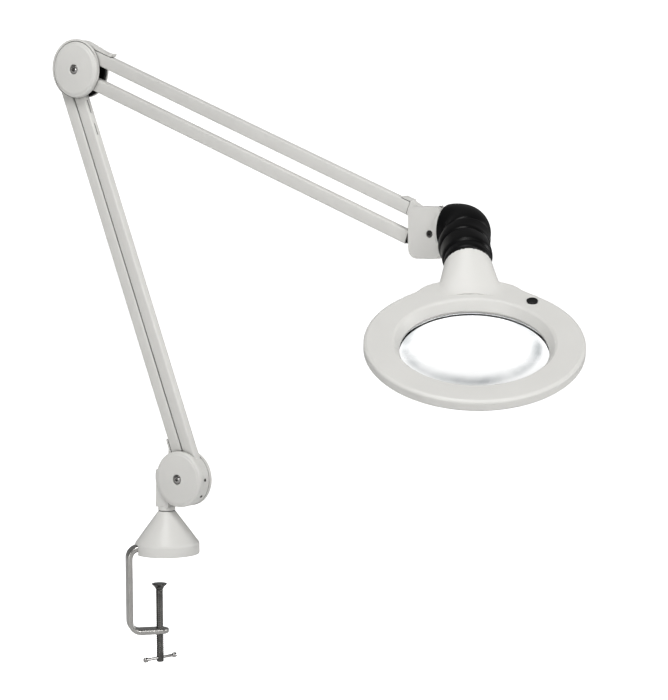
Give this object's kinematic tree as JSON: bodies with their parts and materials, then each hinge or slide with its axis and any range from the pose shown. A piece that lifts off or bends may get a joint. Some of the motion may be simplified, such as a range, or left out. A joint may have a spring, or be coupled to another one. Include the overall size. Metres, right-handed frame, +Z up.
{
  "type": "magnifying lamp",
  "caption": "Clamp-on magnifying lamp: two-part parallelogram arm of paired bars, bellows-covered head joint, and a flat ring head holding a large glass lens with a ring light.",
  "frame": {"origin": "point of the upper jaw's rubber pad on the table top, on the axis of the arm's swivel post", "axes": "+Z up out of the table; +X the way the arm reaches at rest; the arm's bars move in the XZ plane; the front covers with the pivot screws face -Y"},
  "size_m": [0.6592, 0.2525, 0.61],
  "materials": {
    "enamel": "white semi-gloss enamel",
    "enamel_arm": "white semi-gloss enamel on rectangular tube",
    "steel": "plated steel",
    "chrome": "polished",
    "dark_steel": "blackened steel",
    "black_nylon": "black moulded plastic",
    "rubber": "black rubber",
    "glass": "clear polished lens",
    "opal": "opal diffuser",
    "board": "white circuit board"
  },
  "bodies": {
    "clamp": {"clamp_frame": "steel", "jaw_pad": "rubber", "post_socket": "steel", "socket_bolt": "dark_steel", "cone_cover": "enamel"},
    "pressure_foot": {"pressure_pad": "dark_steel"},
    "screw": {"clamp_screw": "dark_steel"},
    "tommy": {"tommy_bar": "chrome"},
    "base_bracket": {"base_yoke": "enamel", "base_post": "steel", "base_front_cover": "enamel", "base_centre_screw": "chrome", "base_pivot_nut": "chrome", "base_outer_pin": "steel"},
    "lower_inner_bar": {"lower_inner_tube": "enamel_arm", "lower_inner_foot": "enamel", "lower_inner_head": "black_nylon", "rim_screw_1": "dark_steel", "rim_screw_2": "dark_steel"},
    "lower_outer_bar": {"lower_outer_tube": "enamel_arm", "lower_outer_foot": "enamel", "lower_outer_head": "enamel", "lower_spring": "steel"},
    "elbow": {"elbow_rear_plate": "enamel", "elbow_core": "black_nylon", "elbow_front_cover": "enamel", "elbow_centre_screw": "chrome", "elbow_pivot_nut": "chrome", "elbow_outer_pin": "steel", "elbow_inner_pin": "steel", "elbow_top_pin": "steel", "elbow_bottom_pin": "steel"},
    "upper_top_bar": {"upper_top_tube": "enamel_arm", "upper_top_root": "enamel", "upper_top_end": "enamel", "upper_spring": "steel"},
    "upper_bottom_bar": {"upper_bottom_tube": "enamel_arm", "upper_bottom_root": "black_nylon", "upper_bottom_end": "black_nylon"},
    "head_bracket": {"head_bracket_shell": "enamel", "bracket_top_pin": "steel", "bracket_bottom_pin": "steel", "bracket_side_screw": "dark_steel", "bracket_top_screw": "chrome"},
    "swivel": {"swivel_yoke": "steel", "bend_pin": "steel", "bellows": "rubber"},
    "neck": {"neck_tongue": "steel"},
    "head": {"head_shell": "enamel", "head_base": "enamel", "neck_bush": "black_nylon", "lens": "glass", "lens_ring": "black_nylon", "led_ring": "board", "diffuser_ring": "opal", "driver_board": "board", "switch_housing": "black_nylon", "shell_screw_1": "dark_steel", "shell_screw_2": "dark_steel"},
    "switch": {"switch_button": "black_nylon"}
  },
  "joints": [
    {"name": "screw_travel", "type": "slide", "parent": "clamp", "child": "pressure_foot", "axis": [0, 0, 1], "range_m": [-0.034, 0.018]},
    {"name": "screw_turn", "type": "hinge", "parent": "pressure_foot", "child": "screw", "pos_m": [-0.00566, -0.00607, -0.07], "axis": [0, 0, 1], "range_deg": [-6120, 3240]},
    {"name": "tommy_slide", "type": "slide", "parent": "screw", "child": "tommy", "axis": [0.2079, 0.9781, 0], "range_m": [-0.0118, 0.0118]},
    {"name": "base_swivel", "type": "hinge", "parent": "clamp", "child": "base_bracket", "pos_m": [0, 0, 0.03], "axis": [0, 0, 1], "continuous": true},
    {"name": "lower_arm_lift", "type": "hinge", "parent": "base_bracket", "child": "lower_inner_bar", "pos_m": [0.0223, 0, 0.0756], "axis": [0, 1, 0], "range_deg": [0, 80]},
    {"name": "lower_link", "type": "hinge", "parent": "base_bracket", "child": "lower_outer_bar", "pos_m": [0.00981, 0, 0.0858], "axis": [0, 1, 0], "range_deg": [0, 80]},
    {"name": "elbow_level", "type": "hinge", "parent": "lower_inner_bar", "child": "elbow", "pos_m": [-0.10678, 0, 0.45986], "axis": [0, 1, 0], "range_deg": [-80, 0]},
    {"name": "upper_arm_lift", "type": "hinge", "parent": "elbow", "child": "upper_top_bar", "pos_m": [-0.09451, 0, 0.49001], "axis": [0, -1, 0], "range_deg": [-35, 60]},
    {"name": "upper_link", "type": "hinge", "parent": "elbow", "child": "upper_bottom_bar", "pos_m": [-0.09429, 0, 0.46291], "axis": [0, -1, 0], "range_deg": [-35, 60]},
    {"name": "head_level", "type": "hinge", "parent": "upper_top_bar", "child": "head_bracket", "pos_m": [0.29427, 0, 0.33921], "axis": [0, -1, 0], "range_deg": [-60, 35]},
    {"name": "head_swivel", "type": "hinge", "parent": "head_bracket", "child": "swivel", "pos_m": [0.344, 0, 0.324], "axis": [1, 0, 0], "range_deg": [-100, 100]},
    {"name": "head_bend", "type": "hinge", "parent": "swivel", "child": "neck", "pos_m": [0.344, 0, 0.324], "axis": [0, 0.5272, -0.8497], "range_deg": [-59, 15], "deforming": ["bellows"]},
    {"name": "head_roll", "type": "hinge", "parent": "neck", "child": "head", "pos_m": [0.344, 0, 0.324], "axis": [0.5085, -0.7316, -0.454], "range_deg": [-60, 60]},
    {"name": "switch_press", "type": "slide", "parent": "head", "child": "switch", "axis": [-0.2591, 0.3728, -0.891], "range_m": [0, 0.0012], "stiffness_N_per_m": 600, "springref_m": -0.0012}
  ],
  "couplings": [
    {"joint": "screw_turn", "follows": "screw_travel", "rad_per_m": 3141.6},
    {"joint": "lower_link", "follows": "lower_arm_lift", "ratio": 1},
    {"joint": "elbow_level", "follows": "lower_arm_lift", "ratio": -1},
    {"joint": "upper_link", "follows": "upper_arm_lift", "ratio": 1},
    {"joint": "head_level", "follows": "upper_arm_lift", "ratio": -1}
  ]
}
